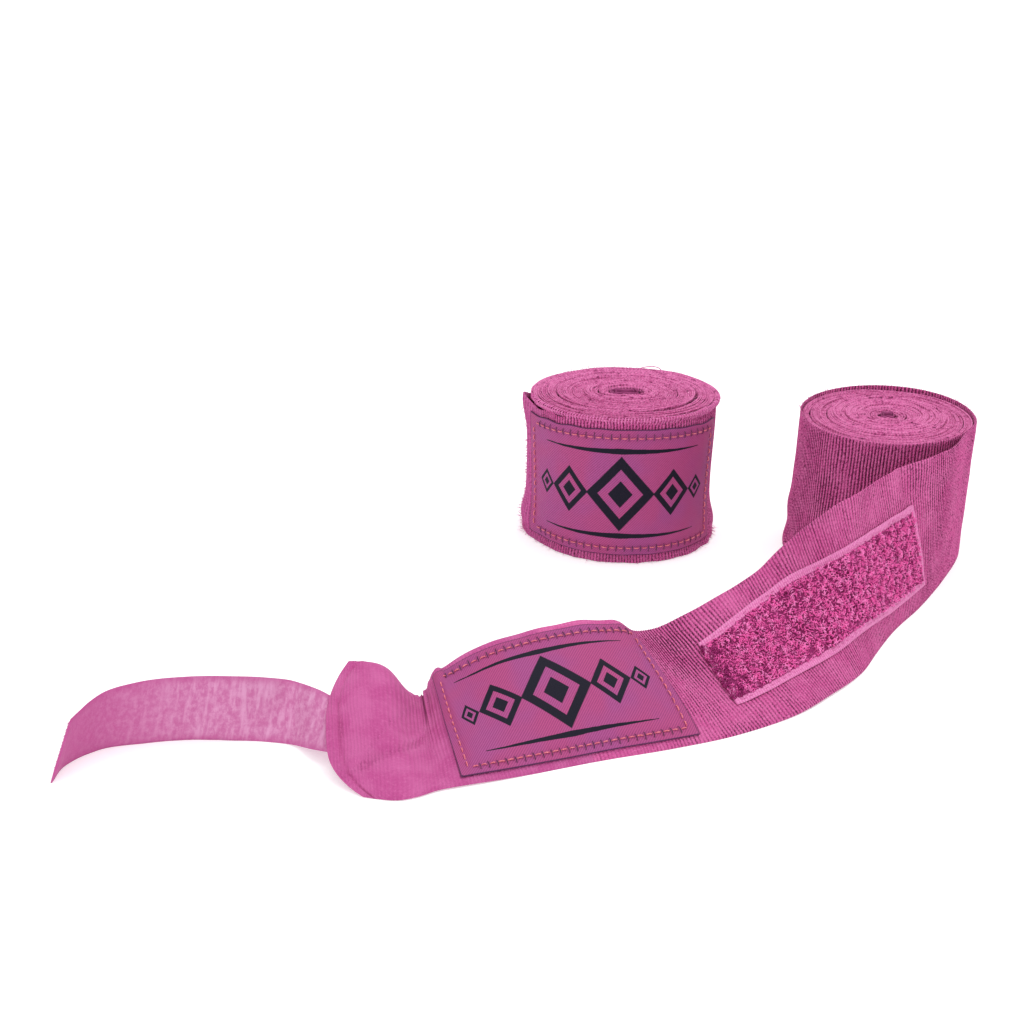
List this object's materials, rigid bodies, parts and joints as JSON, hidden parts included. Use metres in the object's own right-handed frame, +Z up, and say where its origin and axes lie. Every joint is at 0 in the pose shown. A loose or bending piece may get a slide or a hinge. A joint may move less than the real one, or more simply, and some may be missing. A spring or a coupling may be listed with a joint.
{
  "type": "pair of boxing hand wraps",
  "caption": "Pair of elastic cotton boxing hand wraps: one rolled up and closed, the other partly unrolled to show its loop patch, woven label and hook closure strap.",
  "frame": {"origin": "middle of the open wrap's roll, on the surface that both wraps stand on", "axes": "+Z up along the rolls' axes; the free run lies towards -X and -Y, and the rolled wrap stands on the -X side"},
  "size_m": [0.2867, 0.2342, 0.0502],
  "materials": {
    "wrap_cotton": "matte ribbed elastic cotton weave",
    "folded_cotton": "matte, double layer, brushed soft",
    "loop_pile": "matte fuzzy loop pile",
    "loop_tape": "smooth woven nylon tape",
    "label_satin": "woven satin, soft sheen",
    "label_thread": "polyester sewing thread",
    "seam_thread": "polyester sewing thread",
    "strap_tape": "brushed nylon tape",
    "hook_nylon": "moulded nylon hooks",
    "thumb_tape": "matte cotton tape"
  },
  "bodies": {
    "open_roll": {"open_wrap_roll": "wrap_cotton", "open_thumb_loop": "thumb_tape", "open_thumb_bar_tack": "seam_thread"},
    "open_lead": {"open_wrap_lead": "wrap_cotton", "open_loop_backing": "loop_tape", "open_loop_pile": "loop_pile", "open_loop_stitches": "seam_thread"},
    "open_label_run": {"open_label_panel": "wrap_cotton", "open_label": "label_satin", "open_label_stitches": "label_thread"},
    "open_end": {"open_end_fold": "folded_cotton", "open_strap_stitches": "seam_thread"},
    "open_strap": {"open_hook_strap": "strap_tape", "open_hook_field": "hook_nylon"},
    "rolled_wrap": {"rolled_wrap_roll": "wrap_cotton", "rolled_thumb_loop": "thumb_tape", "rolled_thumb_bar_tack": "seam_thread", "rolled_label": "label_satin", "rolled_label_stitches": "label_thread", "rolled_loop_backing": "loop_tape", "rolled_loop_pile": "loop_pile", "rolled_loop_stitches": "seam_thread", "rolled_end_fold": "folded_cotton", "rolled_strap_stitches": "seam_thread"},
    "rolled_strap": {"rolled_hook_strap": "strap_tape", "rolled_hook_field": "hook_nylon"}
  },
  "joints": [
    {"name": "lead_peel", "type": "hinge", "parent": "open_roll", "child": "open_lead", "pos_m": [0.0279, -0.0129, 0], "axis": [0, 0, 1], "range_deg": [0, 45]},
    {"name": "label_fold", "type": "hinge", "parent": "open_lead", "child": "open_label_run", "pos_m": [-0.0588, -0.1458, 0.0016], "axis": [-0.4998, 0.8197, 0.2799], "range_deg": [0, 90]},
    {"name": "end_fold_over", "type": "hinge", "parent": "open_label_run", "child": "open_end", "pos_m": [-0.141, -0.1811, 0.002], "axis": [-0.1938, 0.9547, 0.226], "range_deg": [0, 90]},
    {"name": "strap_lift", "type": "hinge", "parent": "open_end", "child": "open_strap", "pos_m": [-0.1791, -0.1852, 0.0034], "axis": [-0.0756, 0.9393, 0.3347], "range_deg": [0, 100]},
    {"name": "rolled_wrap_lift", "type": "slide", "parent": "open_roll", "child": "rolled_wrap", "axis": [0, 0, 1], "range_m": [0, 0.12]},
    {"name": "rolled_strap_peel", "type": "hinge", "parent": "rolled_wrap", "child": "rolled_strap", "pos_m": [-0.12, 0.02321, 0.025], "axis": [0, 0, 1], "range_deg": [0, 70]}
  ]
}
